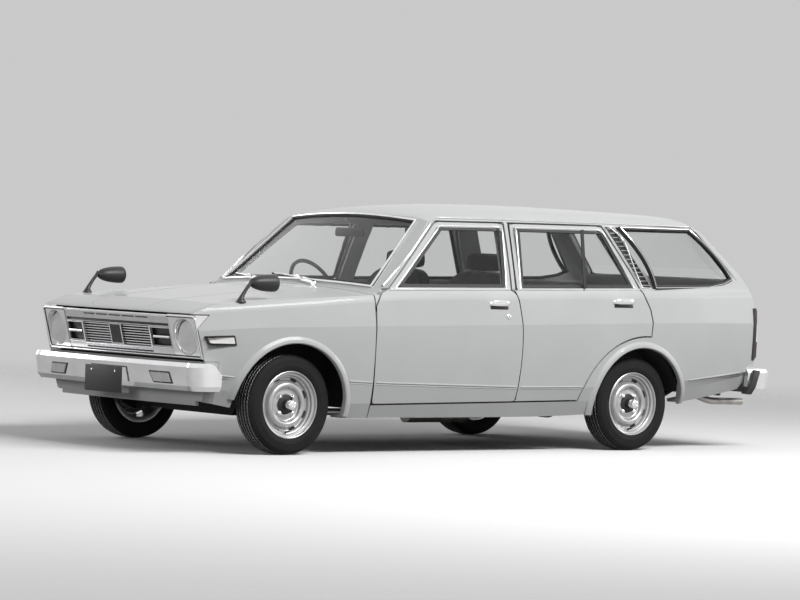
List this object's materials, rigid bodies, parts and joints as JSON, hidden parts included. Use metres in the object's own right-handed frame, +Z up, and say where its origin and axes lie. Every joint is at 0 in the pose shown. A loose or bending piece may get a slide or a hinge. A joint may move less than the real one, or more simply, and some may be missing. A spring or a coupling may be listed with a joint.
{
  "type": "station wagon",
  "caption": "Compact estate car with opening doors, hood and tailgate, steered front wheels, free-rolling wheels, furnished cabin and load space.",
  "frame": {"origin": "on the ground, at the middle of the overall length and width", "axes": "front faces -Y, +X is the car's left side, +Z up"},
  "size_m": [1.6046, 4.029, 1.311],
  "materials": {
    "body_paint": "light silver-grey gloss paint",
    "underbody": "matt black underseal",
    "engine": "bare casting",
    "window": "clear",
    "lamp_glass": "fluted clear glass",
    "tail_lens": "red lens",
    "bright": "polished",
    "grille_black": "satin black",
    "wheel_steel": "silver wheel paint",
    "tyre": "black",
    "trim_plastic": "grained black",
    "seat_cloth": "dark grey cloth",
    "pipe": "dull aluminised steel"
  },
  "bodies": {
    "shell": {"bumper_front": "bright", "bumper_rear": "bright", "cowl": "body_paint", "dashboard": "trim_plastic", "engine_block": "engine", "exhaust": "pipe", "fender_mirrors": "trim_plastic", "floor_pan": "underbody", "front_apron": "body_paint", "front_crossmember": "underbody", "front_fenders": "body_paint", "front_structure": "underbody", "fuel_tank": "underbody", "grille": "grille_black", "headlamps": "lamp_glass", "lamp_bezels": "bright", "louvre_panels": "grille_black", "propshaft": "underbody", "quarter_glass": "window", "radiator": "underbody", "rear_axle": "underbody", "rear_panel": "body_paint", "rear_springs": "underbody", "roof": "body_paint", "seat_front_left": "seat_cloth", "seat_front_right": "seat_cloth", "seat_rear": "seat_cloth", "side_frame_left": "body_paint", "side_frame_right": "body_paint", "steering_wheel": "trim_plastic", "tail_lamps": "tail_lens", "wheel_houses": "underbody", "windshield": "window"},
    "knuckle_left": {"knuckle_left": "underbody"},
    "knuckle_right": {"knuckle_right": "underbody"},
    "wheel_front_left": {"rim_front_left": "wheel_steel", "tyre_front_left": "tyre"},
    "wheel_front_right": {"rim_front_right": "wheel_steel", "tyre_front_right": "tyre"},
    "wheel_rear_left": {"rim_rear_left": "wheel_steel", "tyre_rear_left": "tyre"},
    "wheel_rear_right": {"rim_rear_right": "wheel_steel", "tyre_rear_right": "tyre"},
    "door_front_left": {"door_front_left": "body_paint", "glass_front_left": "window"},
    "door_front_right": {"door_front_right": "body_paint", "glass_front_right": "window"},
    "door_rear_left": {"door_rear_left": "body_paint", "glass_rear_left": "window"},
    "door_rear_right": {"door_rear_right": "body_paint", "glass_rear_right": "window"},
    "hood": {"hood": "body_paint"},
    "tailgate": {"tailgate": "body_paint", "tailgate_glass": "window"}
  },
  "joints": [
    {"name": "steer_left", "type": "hinge", "parent": "shell", "child": "knuckle_left", "pos_m": [0.612, -1.37, 0.255], "axis": [0, 0, 1], "range_deg": [-33, 33]},
    {"name": "spin_front_left", "type": "hinge", "parent": "knuckle_left", "child": "wheel_front_left", "pos_m": [0.662, -1.37, 0.255], "axis": [1, 0, 0], "continuous": true},
    {"name": "spin_rear_left", "type": "hinge", "parent": "shell", "child": "wheel_rear_left", "pos_m": [0.662, 0.97, 0.255], "axis": [1, 0, 0], "continuous": true},
    {"name": "open_front_left", "type": "hinge", "parent": "shell", "child": "door_front_left", "pos_m": [0.792, -0.88, 0.6], "axis": [0, 0, -1], "range_deg": [0, 65]},
    {"name": "open_rear_left", "type": "hinge", "parent": "shell", "child": "door_rear_left", "pos_m": [0.796, 0.075, 0.6], "axis": [0, 0, -1], "range_deg": [0, 65]},
    {"name": "steer_right", "type": "hinge", "parent": "shell", "child": "knuckle_right", "pos_m": [-0.612, -1.37, 0.255], "axis": [0, 0, 1], "range_deg": [-33, 33]},
    {"name": "spin_front_right", "type": "hinge", "parent": "knuckle_right", "child": "wheel_front_right", "pos_m": [-0.662, -1.37, 0.255], "axis": [1, 0, 0], "continuous": true},
    {"name": "spin_rear_right", "type": "hinge", "parent": "shell", "child": "wheel_rear_right", "pos_m": [-0.662, 0.97, 0.255], "axis": [1, 0, 0], "continuous": true},
    {"name": "open_front_right", "type": "hinge", "parent": "shell", "child": "door_front_right", "pos_m": [-0.792, -0.88, 0.6], "axis": [0, 0, 1], "range_deg": [0, 65]},
    {"name": "open_rear_right", "type": "hinge", "parent": "shell", "child": "door_rear_right", "pos_m": [-0.796, 0.075, 0.6], "axis": [0, 0, 1], "range_deg": [0, 65]},
    {"name": "open_hood", "type": "hinge", "parent": "shell", "child": "hood", "pos_m": [0, -0.865, 0.872], "axis": [-1, 0, 0], "range_deg": [0, 50]},
    {"name": "open_tailgate", "type": "hinge", "parent": "shell", "child": "tailgate", "pos_m": [0, 1.5, 1.296], "axis": [1, 0, 0], "range_deg": [0, 75]}
  ],
  "couplings": [
    {"joint": "steer_right", "follows": "steer_left", "ratio": 1}
  ]
}
